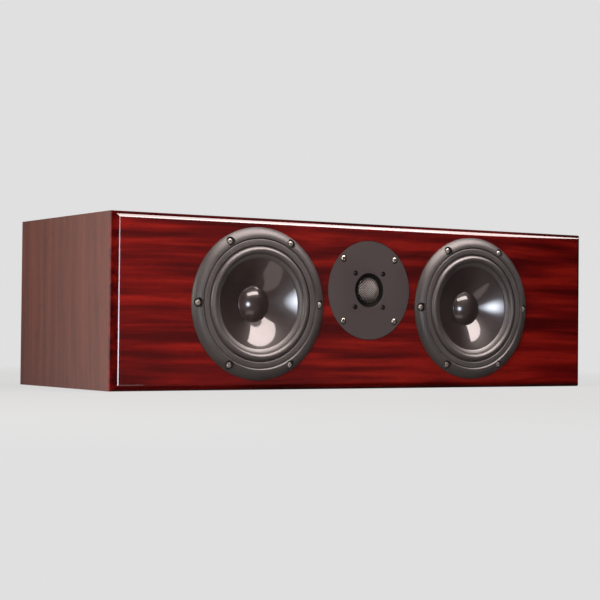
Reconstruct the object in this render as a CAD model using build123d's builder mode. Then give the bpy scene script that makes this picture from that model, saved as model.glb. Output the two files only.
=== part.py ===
from build123d import *
from math import cos, radians, sin
import os

os.makedirs("parts", exist_ok=True)

# Center channel speaker in millimetres: +Z up, front towards -Y, origin at the middle of the underside.

# Cabinet
cabinet_width = 610.0
cabinet_height = 178.0
cabinet_depth = 228.0
panel_thickness = 18.0
baffle_thickness = 22.0
rear_thickness = 18.0
roundover_radius = 8.0
rim_depth = 10.0  # edge of the baffle that covers the front of the carcass
rabbet_width = 9.0  # step that the rear panel sits in
brace_thickness = 15.0
brace_clearance = 4.0  # between a brace and the crossover board
brace_border = 30.0  # wood left around a brace's window
brace_corner = 20.0
pad_thickness = 20.0
pad_margin = 6.0

# Fits shared by all pieces
slip = 0.1  # gap on each side of a screw, tube or ring in its hole
glue_gap = 0.2  # glue line between parts of a driver

# Woofers: widths run inwards from the flange's edge, heights stand in front of the baffle
woofer_offset = 139.5
flange_radius = 79.0
flange_land = 1.5  # straight edge of the flange above the baffle
crest_width = 10.8
crest_height = 6.3
flange_bulge = 0.65  # share of the way to a square corner that the bullnose reaches
groove_height = 5.3
gasket_seat_width = 12.0
gasket_width = 6.6
gasket_height = 5.7
ledge_height = 2.4  # ledge that carries the surround
surround_thickness = 0.7
roll_width = 8.2
roll_height = 7.4
roll_foot_height = 4.4
lip_width = 4.5
lip_drop = 1.5  # fall of the lip from the roll to its inner edge
cone_thickness = 1.0
cone_flare = 0.9  # how far the cone's middle lies in front of a straight line
cone_depth = 11.5  # neck of the cone, behind the baffle's face
dust_cap_radius = 18.8
dust_cap_lip = 1.4
dust_cap_height = 5.6
dust_cap_thickness = 0.5
coil_radius = 16.3
former_thickness = 0.4
winding_thickness = 0.8
winding_length = 12.0
magnet_gap = 0.4  # air on each side of the voice coil
frame_wall = 3.0
flange_overlap = 11.5  # part of the flange that rests on the baffle
frame_clearance = 1.0
can_depth = 4.0
spoke_count = 6
window_share = 0.6  # part of the frame's circumference that is open between spokes
spider_radius = 48.0
spider_land = 4.0  # width of the ledge that carries the spider
spider_depth = 22.4
spider_thickness = 0.8
spider_fold = 1.5
spider_folds = 6
motor_depth = 40.0  # front face of the woofer's front plate
motor_seat_thickness = 4.0
front_plate_thickness = 5.0
magnet_radius = 45.0
magnet_hole_radius = 27.0
magnet_thickness = 15.0
yoke_thickness = 6.0
pole_vent_radius = 5.0
strip_width = 16.0
strip_length = 13.5
strip_thickness = 1.5
woofer_screw_count = 6
woofer_screw_inset = 6.3
woofer_screw_radius = 2.0
woofer_screw_length = 17.0
woofer_head_radius = 4.2
woofer_head_height = 2.2
woofer_pocket_radius = 4.9
woofer_pocket_floor = 1.4  # metal left under a screw head

# Tweeter: depths run back from the baffle's face, with which the plate is flush
tweeter_rise = 17.0  # above the middle of the front
plate_radius = 53.3
plate_thickness = 5.0
plate_bevel = 0.4
plate_fit = 0.3
mouth_radius = 19.0
mouth_depth = 2.6
guard_radius = 14.0
guard_height = 9.0
guard_thickness = 0.6
guard_pitch = 2.2
guard_gap = 1.3
dome_radius = 12.4
dome_height = 4.4
dome_thickness = 0.3
dome_surround_width = 3.2
dome_surround_rim = 2.2
dome_surround_thickness = 0.5
dome_surround_room = 1.6  # hollow behind the plate, over the dome's surround
tweeter_former_thickness = 0.2
tweeter_winding_thickness = 0.35
tweeter_winding_length = 2.4
tweeter_magnet_gap = 0.3
tweeter_front_plate_radius = 34.0
tweeter_front_plate_thickness = 4.0
tweeter_magnet_radius = 36.0
tweeter_magnet_hole_radius = 17.0
tweeter_magnet_thickness = 10.0
tweeter_back_plate_thickness = 4.0
tweeter_vent_radius = 4.0
rear_cup_radius = 30.0
rear_cup_depth = 22.0
rear_cup_wall = 2.0
tweeter_hole_clearance = 2.5
mounting_screw_circle = 47.2
mounting_screw_radius = 1.5
mounting_screw_length = 15.0
mounting_head_radius = 3.3
mounting_head_height = 2.2
mounting_sink = 1.6
plate_screw_circle = 25.6
plate_screw_radius = 1.2
plate_screw_length = 6.0
plate_head_radius = 2.3
plate_head_height = 1.4
plate_sink = 2.2
head_bevel = 0.7
small_head_bevel = 0.35
head_room = 0.5  # gap around a screw head in its sink
tweeter_screw_count = 4

# Rear: two ports and the terminal cup
port_inset = 73.0  # from the cabinet's end to the port's axis
port_radius = 22.0
port_wall = 2.0
port_length = 95.0
port_flare = 8.5
port_collar = 14.0
port_flange_width = 5.0
port_flange_thickness = 3.0
cup_flange_width = 104.0
cup_flange_height = 78.0
cup_flange_thickness = 2.5
cup_flange_corner = 8.0
cup_width = 80.0
cup_opening_height = 54.0
cup_corner = 8.0
cup_wall = 2.0
cup_depth = 24.0
cup_floor = 3.0
cup_screw_radius = 1.5
cup_screw_length = 14.0
cup_head_radius = 3.2
cup_head_height = 1.8
post_offset = 19.0
post_radius = 3.5
post_reach = 21.0  # from the cup's floor to the post's outer end
post_tail = 10.0
post_boss_radius = 7.0
post_boss_height = 2.5
post_clearance = 0.05
socket_radius = 2.0
socket_depth = 16.0
nut_radius = 7.5
nut_grip_radius = 6.8
nut_collar_length = 3.0
nut_length = 16.0
nut_gap = 0.3
nut_flute_count = 12
nut_flute_radius = 1.2
lock_nut_across = 10.0
lock_nut_thickness = 4.0

# Crossover on the cabinet's floor
board_thickness = 1.6
board_margin = 3.0
part_gap = 2.0
end_lane = 10.0  # bare strip at each end of the board, for standoffs and leads
middle_lane = 8.0
standoff_height = 6.0
standoff_radius = 4.0
standoff_pin_radius = 1.4
standoff_cap_radius = 2.6
standoff_cap_height = 1.2
woofer_inductor_radius = 24.0
woofer_inductor_hole = 10.0
woofer_inductor_height = 22.0
tweeter_inductor_radius = 16.0
tweeter_inductor_hole = 7.0
tweeter_inductor_height = 16.0
bobbin_flange = 2.0
capacitor_radius = 8.0
capacitor_length = 34.0
resistor_length = 34.0
resistor_width = 9.0
lead_radius = 1.5
lead_bend = 9.0
lead_reach = 11.0  # from a post's end to the lead's drop onto the board
tweeter_lead_spread = 6.0
tweeter_lead_drop = 12.0  # below the tweeter's axis

# Derived planes of the cabinet
front_y = -cabinet_depth / 2
rear_y = cabinet_depth / 2
carcass_front_y = front_y + rim_depth
rear_panel_y = rear_y - rear_thickness
baffle_back_y = front_y + baffle_thickness
inner_width = cabinet_width - 2 * panel_thickness
inner_height = cabinet_height - 2 * panel_thickness
floor_z = panel_thickness
ceiling_z = cabinet_height - panel_thickness
middle_z = cabinet_height / 2
tweeter_height = middle_z + tweeter_rise
port_offset = cabinet_width / 2 - port_inset

# Crossover layout: a front row with the small coil and a rear row with the large one
front_row = 2 * tweeter_inductor_radius + 4 * capacitor_radius + resistor_width + 3 * part_gap
rear_row = 2 * woofer_inductor_radius + 2 * capacitor_radius + resistor_width + 2 * part_gap
front_row_length = max(2 * tweeter_inductor_radius, capacitor_length, resistor_length)
rear_row_length = max(2 * woofer_inductor_radius, capacitor_length, resistor_length)
board_width = max(front_row, rear_row) + 2 * board_margin
board_length = 2 * end_lane + middle_lane + front_row_length + rear_row_length
brace_offset = board_width / 2 + brace_clearance + brace_thickness / 2


def save(piece, name):
    piece.part.label = name
    export_step(piece.part, f"parts/{name}.step")


def section(x, z):
    # half-section of a driver: local x is the radius, local y the depth behind the baffle's face
    return Plane(origin=(x, front_y, z))


def driver_axis(x, z):
    return Axis((x, front_y, z), (0, 1, 0))


def facing(x, z, y):
    # cross-section that looks along the depth of the cabinet
    return Plane(origin=(x, y, z), x_dir=(1, 0, 0), z_dir=(0, 1, 0))


def on_circle(radius, count, start=0.0):
    turns = [radians(start + 360 * i / count) for i in range(count)]
    return [(radius * cos(turn), radius * sin(turn)) for turn in turns]


def ring(name, plane, outer, inner, thickness):
    with BuildPart() as piece:
        with BuildSketch(plane):
            Circle(outer)
            Circle(inner, mode=Mode.SUBTRACT)
        extrude(amount=thickness)
    save(piece, name)


def screws(name, plane, places, head, shank, bevel):
    # head and shank are (radius, length); the plane is the seat under the heads
    with BuildPart() as piece:
        with BuildSketch(plane):
            with Locations(*places):
                Circle(head[0])
        extrude(amount=-head[1])
        outer_rims = piece.faces().filter_by(Plane.XZ).group_by(Axis.Y)[0].edges()
        chamfer(outer_rims, length=bevel)
        with BuildSketch(plane):
            with Locations(*places):
                Circle(shank[0])
        extrude(amount=shank[1])
    save(piece, name)


# Front baffle: rounded rim in front of the carcass, and a plug that fits inside it
woofer_hole_radius = flange_radius - flange_overlap + frame_clearance
woofer_screw_circle = flange_radius - woofer_screw_inset
tweeter_hole_radius = tweeter_magnet_radius + tweeter_hole_clearance
woofer_centres = [(-woofer_offset, middle_z), (woofer_offset, middle_z)]

# pilot holes of the woofers' screws, for whatever wood lies behind the flanges
with BuildPart() as woofer_pilots:
    for centre in woofer_centres:
        with BuildSketch(facing(*centre, front_y)):
            with Locations(*on_circle(woofer_screw_circle, woofer_screw_count)):
                Circle(woofer_screw_radius + slip)
        extrude(amount=woofer_screw_length)

with BuildPart() as front_baffle:
    with BuildSketch(facing(0, middle_z, front_y)):
        Rectangle(cabinet_width, cabinet_height)
    extrude(amount=rim_depth)
    fillet(front_baffle.faces().sort_by(Axis.Y)[0].edges(), radius=roundover_radius)
    with BuildSketch(facing(0, middle_z, carcass_front_y)):
        Rectangle(inner_width, inner_height)
    extrude(amount=baffle_thickness - rim_depth)
    for centre in woofer_centres:
        with BuildSketch(facing(*centre, front_y)):
            Circle(woofer_hole_radius)
        extrude(amount=baffle_thickness, mode=Mode.SUBTRACT)
    add(woofer_pilots.part, mode=Mode.SUBTRACT)
    with BuildSketch(facing(0, tweeter_height, front_y)):
        Circle(plate_radius + plate_fit)
    extrude(amount=plate_thickness, mode=Mode.SUBTRACT)
    with BuildSketch(facing(0, tweeter_height, front_y)):
        Circle(tweeter_hole_radius)
    extrude(amount=baffle_thickness, mode=Mode.SUBTRACT)
    with BuildSketch(facing(0, tweeter_height, front_y)):
        with Locations(*on_circle(mounting_screw_circle, tweeter_screw_count, 45)):
            Circle(mounting_screw_radius + slip)
    extrude(amount=mounting_screw_length + plate_thickness, mode=Mode.SUBTRACT)
save(front_baffle, "front_baffle")


# Carcass: four mitred panels, stepped at the back for the rear panel
def frame_corner(turn, inset):
    # corners of the cabinet's outline in turn, moved inwards by the inset
    across = (cabinet_width / 2 - inset) * (1 if turn in (1, 2) else -1)
    up = (cabinet_height / 2 - inset) * (1 if turn in (2, 3) else -1)
    return (across, -up)


def mitred_panel(name, first, second):
    with BuildPart() as panel:
        for start_y, end_y, thickness in (
            (carcass_front_y, rear_panel_y, panel_thickness),
            (rear_panel_y, rear_y, rabbet_width),
        ):
            with BuildSketch(facing(0, middle_z, start_y)):
                with BuildLine():
                    Polyline(
                        frame_corner(first, 0),
                        frame_corner(second, 0),
                        frame_corner(second, thickness),
                        frame_corner(first, thickness),
                        close=True,
                    )
                make_face()
            extrude(amount=end_y - start_y)
        add(woofer_pilots.part, mode=Mode.SUBTRACT)
    save(panel, name)


mitred_panel("bottom_panel", 0, 1)
mitred_panel("right_side_panel", 1, 2)
mitred_panel("top_panel", 2, 3)
mitred_panel("left_side_panel", 3, 0)

# Rear panel with its port holes and the terminal cup's opening
collar_radius = port_radius + port_flare
port_flange_radius = collar_radius + port_flange_width
cup_screw_places = [
    (side * (cup_flange_width + cup_width) / 4, level * (cup_flange_height + cup_opening_height) / 4)
    for side in (-1, 1)
    for level in (-1, 1)
]

with BuildPart() as rear_panel:
    with BuildSketch(facing(0, middle_z, rear_panel_y)):
        Rectangle(cabinet_width - 2 * rabbet_width, cabinet_height - 2 * rabbet_width)
    extrude(amount=rear_thickness)
    for side in (-1, 1):
        with BuildSketch(facing(side * port_offset, middle_z, rear_y)):
            Circle(collar_radius + slip)
        extrude(amount=-rear_thickness, mode=Mode.SUBTRACT)
        with BuildSketch(facing(side * port_offset, middle_z, rear_y)):
            Circle(port_flange_radius + slip)
        extrude(amount=-port_flange_thickness, mode=Mode.SUBTRACT)
    with BuildSketch(facing(0, middle_z, rear_y)):
        RectangleRounded(cup_width + 2 * slip, cup_opening_height + 2 * slip, cup_corner)
    extrude(amount=-rear_thickness, mode=Mode.SUBTRACT)
    with BuildSketch(facing(0, middle_z, rear_y)):
        with Locations(*cup_screw_places):
            Circle(cup_screw_radius + slip)
    extrude(amount=-cup_screw_length, mode=Mode.SUBTRACT)
save(rear_panel, "rear_panel")

# Window braces between the drivers
inner_depth = rear_panel_y - baffle_back_y
for side, name in ((-1, "left_brace"), (1, "right_brace")):
    start = Plane(
        origin=(side * brace_offset - brace_thickness / 2, (baffle_back_y + rear_panel_y) / 2, middle_z),
        x_dir=(0, 1, 0),
        z_dir=(1, 0, 0),
    )
    with BuildPart() as brace:
        with BuildSketch(start):
            Rectangle(inner_depth, inner_height)
            RectangleRounded(
                inner_depth - 2 * brace_border,
                inner_height - 2 * brace_border,
                brace_corner,
                mode=Mode.SUBTRACT,
            )
        extrude(amount=brace_thickness)
    save(brace, name)

# Radii of a woofer, from the flange inwards
seat_radius = flange_radius - gasket_seat_width
gasket_outer = seat_radius - glue_gap
gasket_inner = gasket_outer - gasket_width
roll_outer = gasket_inner - surround_thickness
roll_inner = roll_outer - roll_width
roll_middle = (roll_outer + roll_inner) / 2
lip_inner = roll_inner - lip_width
cone_radius = roll_inner - surround_thickness
can_radius = flange_radius - flange_overlap
crest_radius = flange_radius - crest_width
former_inner = coil_radius - former_thickness
winding_outer = coil_radius + winding_thickness
neck_radius = coil_radius + glue_gap
pole_radius = former_inner - magnet_gap
front_plate_bore = winding_outer + magnet_gap
spider_wall = spider_radius + glue_gap
spider_ledge = spider_radius - spider_land

# Depths of a woofer behind the baffle's face
lip_back_drop = lip_drop * 2 * surround_thickness / (lip_width + surround_thickness)
cone_edge_depth = surround_thickness + glue_gap - roll_foot_height + lip_back_drop
seat_front = motor_depth - motor_seat_thickness
magnet_depth = motor_depth + front_plate_thickness
yoke_depth = magnet_depth + magnet_thickness
winding_front = motor_depth + front_plate_thickness / 2 - winding_length / 2
former_end = winding_front + winding_length + former_thickness


# Damping pads under the ceiling and on the two ends
brace_outer = brace_offset + brace_thickness / 2
ceiling_pad_width = inner_width / 2 - brace_outer - 2 * pad_margin
pad_front_y = front_y + yoke_depth + yoke_thickness + pad_margin
pad_length = rear_panel_y - pad_margin - pad_front_y
end_pad_height = inner_height - pad_thickness - 2 * pad_margin

with BuildPart() as damping_pads:
    for side in (-1, 1):
        ceiling_x = side * (brace_outer + pad_margin + ceiling_pad_width / 2)
        with BuildSketch(Plane.XY.offset(ceiling_z)):
            with Locations((ceiling_x, pad_front_y + pad_length / 2)):
                Rectangle(ceiling_pad_width, pad_length)
        extrude(amount=-pad_thickness)
        with BuildSketch(Plane.YZ.offset(side * inner_width / 2)):
            with Locations((pad_front_y + pad_length / 2, floor_z + pad_margin + end_pad_height / 2)):
                Rectangle(pad_length, end_pad_height)
        extrude(amount=-side * pad_thickness)
save(damping_pads, "damping_pads")


def cone_front(radius):
    # depth of the cone's front face: a line from edge to neck, flared forwards like a bell
    share = (cone_radius - radius) / (cone_radius - neck_radius)
    flare = 4 * cone_flare * share * (1 - share)
    return cone_edge_depth + share * (cone_depth - cone_edge_depth) - flare


def woofer_frame(name, x, z):
    land = (flange_radius, -flange_land)
    crest = (crest_radius, -crest_height)
    shoulder = (
        crest_radius + flange_bulge * crest_width,
        -flange_land - flange_bulge * (crest_height - flange_land),
    )
    slope_end = spider_depth - frame_wall
    with BuildPart() as frame:
        with BuildSketch(section(x, z)):
            with BuildLine():
                Line((flange_radius, 0), land)
                ThreePointArc(land, shoulder, crest)
                Polyline(
                    crest,
                    (seat_radius, -groove_height),
                    (seat_radius, -ledge_height),
                    (roll_outer, -ledge_height),
                    (roll_outer, can_depth),
                    (spider_wall, slope_end),
                    (spider_wall, spider_depth),
                    (spider_ledge, spider_depth),
                    (spider_ledge, seat_front),
                    (front_plate_bore + frame_wall, seat_front),
                    (front_plate_bore + frame_wall, motor_depth),
                    (spider_radius, motor_depth),
                    (spider_radius, spider_depth + frame_wall),
                    (spider_wall + frame_wall, spider_depth),
                    (roll_outer + frame_wall, can_depth + frame_wall / 2),
                    (can_radius, can_depth),
                    (can_radius, 0),
                    (flange_radius, 0),
                )
            make_face()
        revolve(axis=driver_axis(x, z))
        # windows between the spokes, in front of and behind the spider's ledge
        wall_middle = (roll_outer + spider_wall) / 2
        for centre, start, end in (
            (wall_middle, can_depth + frame_wall, slope_end),
            (spider_ledge, spider_depth + frame_wall, seat_front - frame_wall / 2),
        ):
            opening = window_share * radians(360 / spoke_count) * centre
            with BuildSketch(facing(x, z, front_y + start)):
                with PolarLocations(centre, spoke_count, 180 / spoke_count):
                    Rectangle(2 * (roll_outer - wall_middle) + 2 * frame_wall, opening)
            extrude(amount=end - start, mode=Mode.SUBTRACT)
        # pockets for the screw heads in the flange's slope
        places = on_circle(woofer_screw_circle, woofer_screw_count)
        with BuildSketch(facing(x, z, front_y - crest_height)):
            with Locations(*places):
                Circle(woofer_pocket_radius)
        extrude(amount=crest_height - woofer_pocket_floor, mode=Mode.SUBTRACT)
        with BuildSketch(facing(x, z, front_y)):
            with Locations(*places):
                Circle(woofer_screw_radius + slip)
        extrude(amount=-woofer_pocket_floor, mode=Mode.SUBTRACT)
    save(frame, name)


def woofer_surround(name, x, z):
    front_foot = -ledge_height - surround_thickness
    lip_front = lip_drop - roll_foot_height
    with BuildPart() as surround:
        with BuildSketch(section(x, z)):
            with BuildLine():
                Line((gasket_outer, front_foot), (roll_outer, front_foot))
                ThreePointArc(
                    (roll_outer, front_foot),
                    (roll_middle, -roll_height),
                    (roll_inner, -roll_foot_height),
                )
                Polyline(
                    (roll_inner, -roll_foot_height),
                    (lip_inner, lip_front),
                    (lip_inner, lip_front + surround_thickness),
                    (roll_inner + surround_thickness, surround_thickness - roll_foot_height),
                )
                ThreePointArc(
                    (roll_inner + surround_thickness, surround_thickness - roll_foot_height),
                    (roll_middle, surround_thickness - roll_height),
                    (roll_outer - surround_thickness, -ledge_height),
                )
                Polyline(
                    (roll_outer - surround_thickness, -ledge_height),
                    (gasket_outer, -ledge_height),
                    (gasket_outer, front_foot),
                )
            make_face()
        revolve(axis=driver_axis(x, z))
    save(surround, name)


def woofer_cone(name, x, z):
    middle = (cone_radius + neck_radius) / 2
    middle_depth = cone_front(middle)
    with BuildPart() as cone:
        with BuildSketch(section(x, z)):
            with BuildLine():
                ThreePointArc(
                    (cone_radius, cone_edge_depth),
                    (middle, middle_depth),
                    (neck_radius, cone_depth),
                )
                Line((neck_radius, cone_depth), (neck_radius, cone_depth + cone_thickness))
                ThreePointArc(
                    (neck_radius, cone_depth + cone_thickness),
                    (middle, middle_depth + cone_thickness),
                    (cone_radius, cone_edge_depth + cone_thickness),
                )
                Line((cone_radius, cone_edge_depth + cone_thickness), (cone_radius, cone_edge_depth))
            make_face()
        revolve(axis=driver_axis(x, z))
    save(cone, name)


def dome_half_height(radius, height, reach):
    # height of a spherical cap above its base at a distance from its axis
    sphere = (radius**2 + height**2) / (2 * height)
    return (sphere**2 - reach**2) ** 0.5 - (sphere - height)


def woofer_dust_cap(name, x, z):
    foot = cone_front(dust_cap_radius) - glue_gap
    base_front = foot - dust_cap_thickness
    dome_radius_front = dust_cap_radius - dust_cap_lip
    dome_radius_back = dome_radius_front - dust_cap_thickness
    half_front = dome_half_height(dome_radius_front, dust_cap_height, dome_radius_front / 2)
    half_back = dome_half_height(dome_radius_back, dust_cap_height, dome_radius_back / 2)
    with BuildPart() as cap:
        with BuildSketch(section(x, z)):
            with BuildLine():
                ThreePointArc(
                    (0, base_front - dust_cap_height),
                    (dome_radius_front / 2, base_front - half_front),
                    (dome_radius_front, base_front),
                )
                Polyline(
                    (dome_radius_front, base_front),
                    (dust_cap_radius, base_front),
                    (dust_cap_radius, foot),
                    (dome_radius_back, foot),
                )
                ThreePointArc(
                    (dome_radius_back, foot),
                    (dome_radius_back / 2, foot - half_back),
                    (0, foot - dust_cap_height),
                )
                Line((0, foot - dust_cap_height), (0, base_front - dust_cap_height))
            make_face()
        revolve(axis=driver_axis(x, z))
    save(cap, name)


def woofer_voice_coil(name, x, z):
    with BuildPart() as coil:
        with BuildSketch(section(x, z)):
            with BuildLine():
                Polyline(
                    (former_inner, cone_depth),
                    (coil_radius, cone_depth),
                    (coil_radius, winding_front),
                    (winding_outer, winding_front),
                    (winding_outer, winding_front + winding_length),
                    (coil_radius, winding_front + winding_length),
                    (coil_radius, former_end),
                    (former_inner, former_end),
                    close=True,
                )
            make_face()
        revolve(axis=driver_axis(x, z))
    save(coil, name)


def woofer_spider(name, x, z):
    # pleated cloth disc, glued to the frame's ledge outside and to the former inside
    pleats_outer = spider_ledge - glue_gap
    pleats_inner = coil_radius + glue_gap
    step = (pleats_outer - pleats_inner) / spider_folds
    folds = [
        (pleats_outer - i * step, spider_depth - spider_thickness - spider_fold * (i % 2))
        for i in range(spider_folds + 1)
    ]
    back = [(radius, depth + spider_thickness) for radius, depth in reversed(folds)]
    rim = [(spider_radius, spider_depth), (spider_radius, spider_depth - spider_thickness)]
    with BuildPart() as spider:
        with BuildSketch(section(x, z)):
            with BuildLine():
                Polyline(*folds, *back, *rim, close=True)
            make_face()
        revolve(axis=driver_axis(x, z))
    save(spider, name)


def woofer_yoke(name, x, z):
    with BuildPart() as yoke:
        with BuildSketch(section(x, z)):
            with BuildLine():
                Polyline(
                    (pole_vent_radius, motor_depth),
                    (pole_radius, motor_depth),
                    (pole_radius, yoke_depth),
                    (magnet_radius, yoke_depth),
                    (magnet_radius, yoke_depth + yoke_thickness),
                    (pole_vent_radius, yoke_depth + yoke_thickness),
                    close=True,
                )
            make_face()
        revolve(axis=driver_axis(x, z))
    save(yoke, name)


strip_reach = spider_radius - frame_wall / 2  # inner end of the terminal strip


def woofer_terminals(name, x, z, inward):
    # insulating strip on the rear of the motor seat, on the side of the crossover
    with BuildPart() as terminals:
        with BuildSketch(facing(x, z, front_y + motor_depth)):
            with Locations((inward * (strip_reach + strip_length / 2), 0)):
                Rectangle(strip_length, strip_width)
        extrude(amount=strip_thickness)
    save(terminals, name)


for side, (x, z) in zip(("left", "right"), woofer_centres):
    unit = f"{side}_woofer"
    inward = 1 if side == "left" else -1
    woofer_frame(f"{unit}_frame", x, z)
    gasket_foot = front_y - ledge_height - surround_thickness
    gasket_thickness = gasket_height - ledge_height - surround_thickness
    ring(f"{unit}_gasket", facing(x, z, gasket_foot), gasket_outer, gasket_inner, -gasket_thickness)
    woofer_surround(f"{unit}_surround", x, z)
    woofer_cone(f"{unit}_cone", x, z)
    woofer_dust_cap(f"{unit}_dust_cap", x, z)
    woofer_voice_coil(f"{unit}_voice_coil", x, z)
    woofer_spider(f"{unit}_spider", x, z)
    plate_face = facing(x, z, front_y + motor_depth)
    ring(f"{unit}_front_plate", plate_face, strip_reach - slip, front_plate_bore, front_plate_thickness)
    magnet_face = facing(x, z, front_y + magnet_depth)
    ring(f"{unit}_magnet", magnet_face, magnet_radius, magnet_hole_radius, magnet_thickness)
    woofer_yoke(f"{unit}_yoke", x, z)
    woofer_terminals(f"{unit}_terminals", x, z, inward)
    screws(
        f"{unit}_screws",
        facing(x, z, front_y - woofer_pocket_floor),
        on_circle(woofer_screw_circle, woofer_screw_count),
        (woofer_head_radius, woofer_head_height),
        (woofer_screw_radius, woofer_screw_length + woofer_pocket_floor - slip),
        head_bevel,
    )

# Tweeter stack, from the faceplate back
guard_seat_depth = mouth_depth
guard_opening = guard_radius - 2 * guard_thickness
surround_outer = dome_radius + dome_surround_width + dome_surround_rim
surround_roll_outer = dome_radius + dome_surround_width
tweeter_motor_depth = plate_thickness + dome_surround_thickness + glue_gap
tweeter_magnet_depth = tweeter_motor_depth + tweeter_front_plate_thickness
tweeter_yoke_depth = tweeter_magnet_depth + tweeter_magnet_thickness
tweeter_back_depth = tweeter_yoke_depth + tweeter_back_plate_thickness
tweeter_winding_outer = dome_radius + tweeter_winding_thickness
tweeter_bore = tweeter_winding_outer + tweeter_magnet_gap
tweeter_former_inner = dome_radius - tweeter_former_thickness
tweeter_pole_radius = tweeter_former_inner - tweeter_magnet_gap
tweeter_winding_front = tweeter_motor_depth + tweeter_front_plate_thickness / 2 - tweeter_winding_length / 2
mounting_places = on_circle(mounting_screw_circle, tweeter_screw_count, 45)
plate_places = on_circle(plate_screw_circle, tweeter_screw_count, 45)
tweeter_section = section(0, tweeter_height)
tweeter_axis = driver_axis(0, tweeter_height)

with BuildPart() as tweeter_faceplate:
    with BuildSketch(tweeter_section):
        with BuildLine():
            Polyline(
                (plate_radius - plate_bevel, 0),
                (plate_radius, plate_bevel),
                (plate_radius, plate_thickness),
                (surround_outer, plate_thickness),
                (surround_outer, plate_thickness - dome_surround_room),
                (guard_opening, plate_thickness - dome_surround_room),
                (guard_opening, guard_seat_depth),
                (guard_radius + slip, guard_seat_depth),
                (mouth_radius, 0),
                close=True,
            )
        make_face()
    revolve(axis=tweeter_axis)
    for places, head_radius, sink, shank_radius in (
        (mounting_places, mounting_head_radius, mounting_sink, mounting_screw_radius),
        (plate_places, plate_head_radius, plate_sink, plate_screw_radius),
    ):
        with BuildSketch(facing(0, tweeter_height, front_y)):
            with Locations(*places):
                Circle(head_radius + head_room)
        extrude(amount=sink, mode=Mode.SUBTRACT)
        with BuildSketch(facing(0, tweeter_height, front_y)):
            with Locations(*places):
                Circle(shank_radius + slip)
        extrude(amount=plate_thickness, mode=Mode.SUBTRACT)
save(tweeter_faceplate, "tweeter_faceplate")

# Guard: pressed dome of diagonal wire mesh, drawn as one wall with square gaps
guard_apex = guard_seat_depth - guard_height
guard_half = dome_half_height(guard_radius, guard_height, guard_radius / 2)
guard_back_radius = guard_radius - guard_thickness
guard_back_half = dome_half_height(guard_back_radius, guard_height - guard_thickness, guard_back_radius / 2)
mesh_radius = guard_back_radius - guard_gap
mesh_count = int(2 * mesh_radius / guard_pitch) + 1
mesh_plane = facing(0, tweeter_height, front_y + guard_apex).rotated((0, 0, 45))

with BuildPart() as tweeter_guard:
    with BuildSketch(tweeter_section):
        with BuildLine():
            ThreePointArc(
                (0, guard_apex),
                (guard_radius / 2, guard_seat_depth - guard_half),
                (guard_radius, guard_seat_depth),
            )
            Line((guard_radius, guard_seat_depth), (guard_back_radius, guard_seat_depth))
            ThreePointArc(
                (guard_back_radius, guard_seat_depth),
                (guard_back_radius / 2, guard_seat_depth - guard_back_half),
                (0, guard_apex + guard_thickness),
            )
            Line((0, guard_apex + guard_thickness), (0, guard_apex))
        make_face()
    revolve(axis=tweeter_axis)
    with BuildSketch(mesh_plane):
        with GridLocations(guard_pitch, guard_pitch, mesh_count, mesh_count) as grid:
            cells = [place for place in grid.local_locations if place.position.length < mesh_radius]
        with Locations(*cells):
            Rectangle(guard_gap, guard_gap)
    extrude(amount=guard_height, mode=Mode.SUBTRACT)
save(tweeter_guard, "tweeter_guard")

dome_foot = plate_thickness
dome_half = dome_half_height(dome_radius, dome_height, dome_radius / 2)
with BuildPart() as tweeter_dome:
    with BuildSketch(tweeter_section):
        with BuildLine():
            ThreePointArc(
                (0, dome_foot - dome_height),
                (dome_radius / 2, dome_foot - dome_half),
                (dome_radius, dome_foot),
            )
            Line((dome_radius, dome_foot), (dome_radius, dome_foot + dome_thickness))
            ThreePointArc(
                (dome_radius, dome_foot + dome_thickness),
                (dome_radius / 2, dome_foot + dome_thickness - dome_half),
                (0, dome_foot + dome_thickness - dome_height),
            )
            Line((0, dome_foot + dome_thickness - dome_height), (0, dome_foot - dome_height))
        make_face()
    revolve(axis=tweeter_axis)
save(tweeter_dome, "tweeter_dome")

roll_inside = dome_radius + glue_gap
roll_centre = (roll_inside + surround_roll_outer) / 2
roll_rise = (surround_roll_outer - roll_inside) / 3
rim_front = plate_thickness + glue_gap
rim_back = rim_front + dome_surround_thickness
with BuildPart() as tweeter_surround:
    with BuildSketch(tweeter_section):
        with BuildLine():
            ThreePointArc(
                (roll_inside, rim_front),
                (roll_centre, rim_front - roll_rise),
                (surround_roll_outer, rim_front),
            )
            Polyline(
                (surround_roll_outer, rim_front),
                (surround_outer, rim_front),
                (surround_outer, rim_back),
                (surround_roll_outer, rim_back),
            )
            ThreePointArc(
                (surround_roll_outer, rim_back),
                (roll_centre, rim_back - roll_rise),
                (roll_inside, rim_back),
            )
            Line((roll_inside, rim_back), (roll_inside, rim_front))
        make_face()
    revolve(axis=tweeter_axis)
save(tweeter_surround, "tweeter_surround")

coil_front = dome_foot + dome_thickness + slip
with BuildPart() as tweeter_voice_coil:
    with BuildSketch(tweeter_section):
        with BuildLine():
            Polyline(
                (tweeter_former_inner, coil_front),
                (dome_radius, coil_front),
                (dome_radius, tweeter_winding_front),
                (tweeter_winding_outer, tweeter_winding_front),
                (tweeter_winding_outer, tweeter_winding_front + tweeter_winding_length),
                (tweeter_former_inner, tweeter_winding_front + tweeter_winding_length),
                close=True,
            )
        make_face()
    revolve(axis=tweeter_axis)
save(tweeter_voice_coil, "tweeter_voice_coil")

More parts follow.
